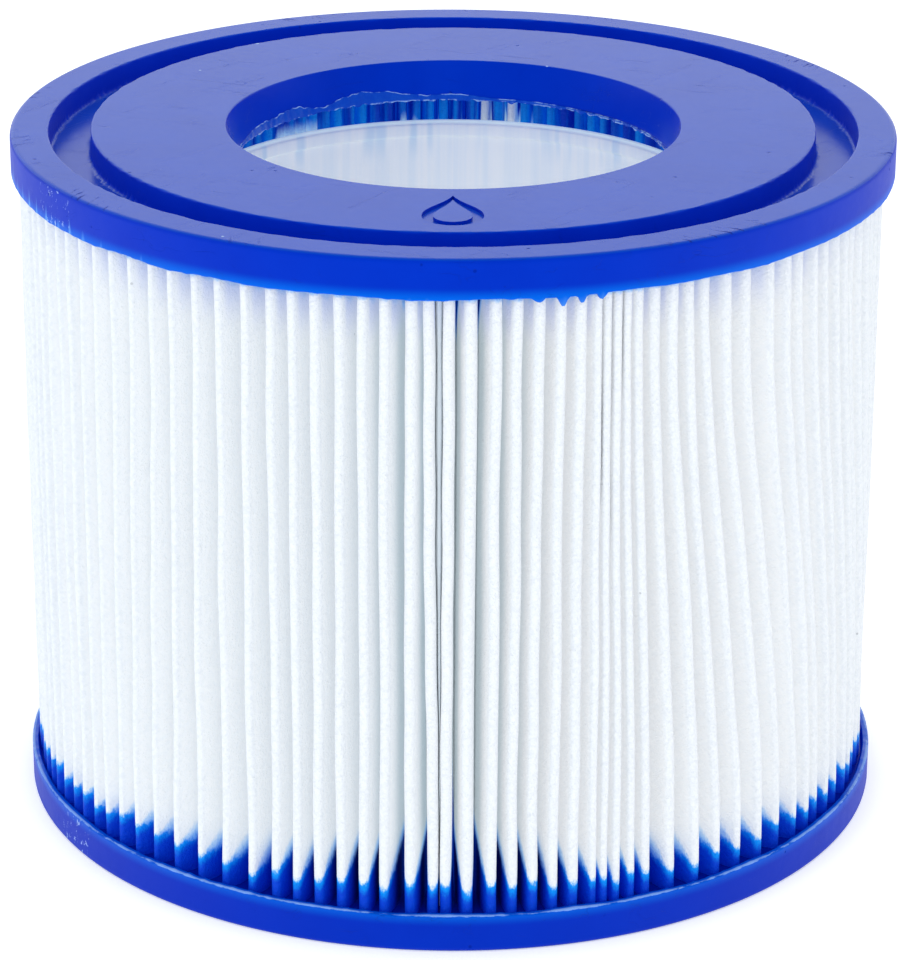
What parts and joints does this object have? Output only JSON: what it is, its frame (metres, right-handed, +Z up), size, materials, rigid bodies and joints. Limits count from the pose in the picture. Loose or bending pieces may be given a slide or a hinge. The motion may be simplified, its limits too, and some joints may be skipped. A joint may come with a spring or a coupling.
{
  "type": "filter cartridge",
  "caption": "Short round cartridge filter: white pleated media standing round a plastic core tube, potted in two blue cast end caps with an open bore through the middle.",
  "frame": {"origin": "centre of the bottom end cap's outer face", "axes": "+Z up along the bore; the seam of the pleated strip and the sunk drop mark face -Y"},
  "size_m": [0.106, 0.106, 0.084],
  "materials": {
    "cap_plastic": "semi-gloss cast royal blue resin",
    "core_plastic": "frosted translucent white",
    "media_felt": "matte non-woven polyester felt",
    "seam_adhesive": "dull hot-melt adhesive"
  },
  "bodies": {
    "root": {"bottom_end_cap": "cap_plastic", "top_end_cap": "cap_plastic", "core_tube": "core_plastic", "pleated_media": "media_felt", "media_seam": "seam_adhesive"}
  },
  "joints": []
}
